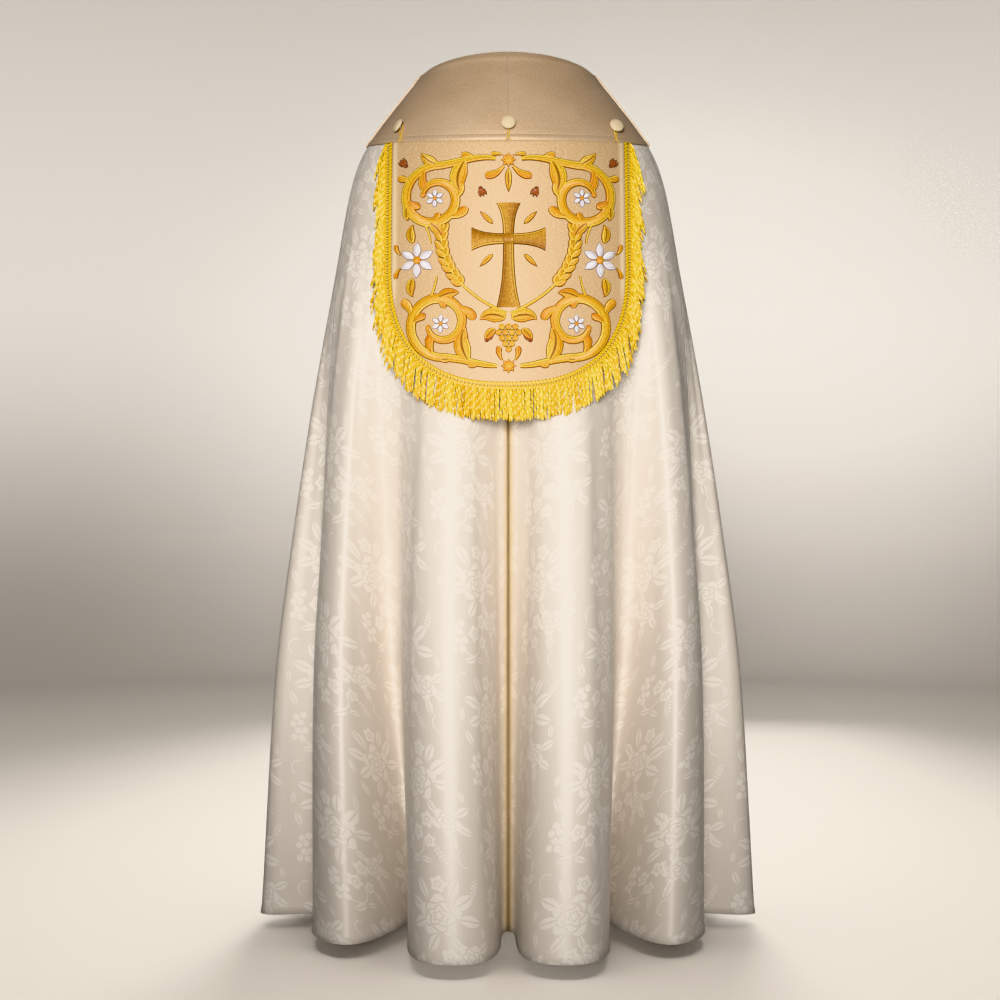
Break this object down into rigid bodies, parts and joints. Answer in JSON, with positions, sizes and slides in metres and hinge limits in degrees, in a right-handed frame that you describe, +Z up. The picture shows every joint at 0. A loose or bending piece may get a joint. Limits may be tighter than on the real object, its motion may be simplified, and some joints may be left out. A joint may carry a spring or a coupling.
{
  "type": "cope vestment",
  "caption": "Full-length ivory damask cope worn over the shoulders, open in front, with gold yoke and front bands, a fringed back shield hung from buttons and a chest strap",
  "frame": {"origin": "middle of the neck opening, level with the tops of the shoulders, where the wearer holds the cope up", "axes": "+Z up; the back with its shield faces -Y, the open front faces +Y, the wearer's right is +X"},
  "size_m": [0.834, 0.7432, 1.435],
  "materials": {
    "ivory_damask": "satin, tone-on-tone floral damask",
    "gold_lame": "satin metallic lame with a fine crosswise grain",
    "shield_lame": "metallic lame with a pebbled weave",
    "gold_fringe": "shiny twisted rayon strands",
    "gold_stitch": "satin stitch over padding, metallic thread",
    "white_stitch": "satin stitch over padding, white and silver thread",
    "covered_button": "covered in the band's cloth",
    "gold_cord": "twisted metallic cord"
  },
  "bodies": {
    "root": {"mantle_back_left": "ivory_damask", "mantle_back_right": "ivory_damask", "mantle_side_left": "ivory_damask", "mantle_side_right": "ivory_damask", "yoke_left": "gold_lame", "yoke_right": "gold_lame", "orphrey_left": "gold_lame", "orphrey_right": "gold_lame", "morse": "gold_lame", "shield": "shield_lame", "shield_fringe": "gold_fringe", "shield_cross": "gold_stitch", "scroll_upper_left": "gold_stitch", "scroll_upper_right": "gold_stitch", "scroll_lower_left": "gold_stitch", "scroll_lower_right": "gold_stitch", "flower_side_left": "white_stitch", "flower_side_right": "white_stitch", "flower_upper_left": "white_stitch", "flower_upper_right": "white_stitch", "flower_lower_left": "white_stitch", "flower_lower_right": "white_stitch", "button_left": "covered_button", "button_middle": "covered_button", "button_right": "covered_button", "loop_left": "gold_cord", "loop_middle": "gold_cord", "loop_right": "gold_cord"}
  },
  "joints": []
}
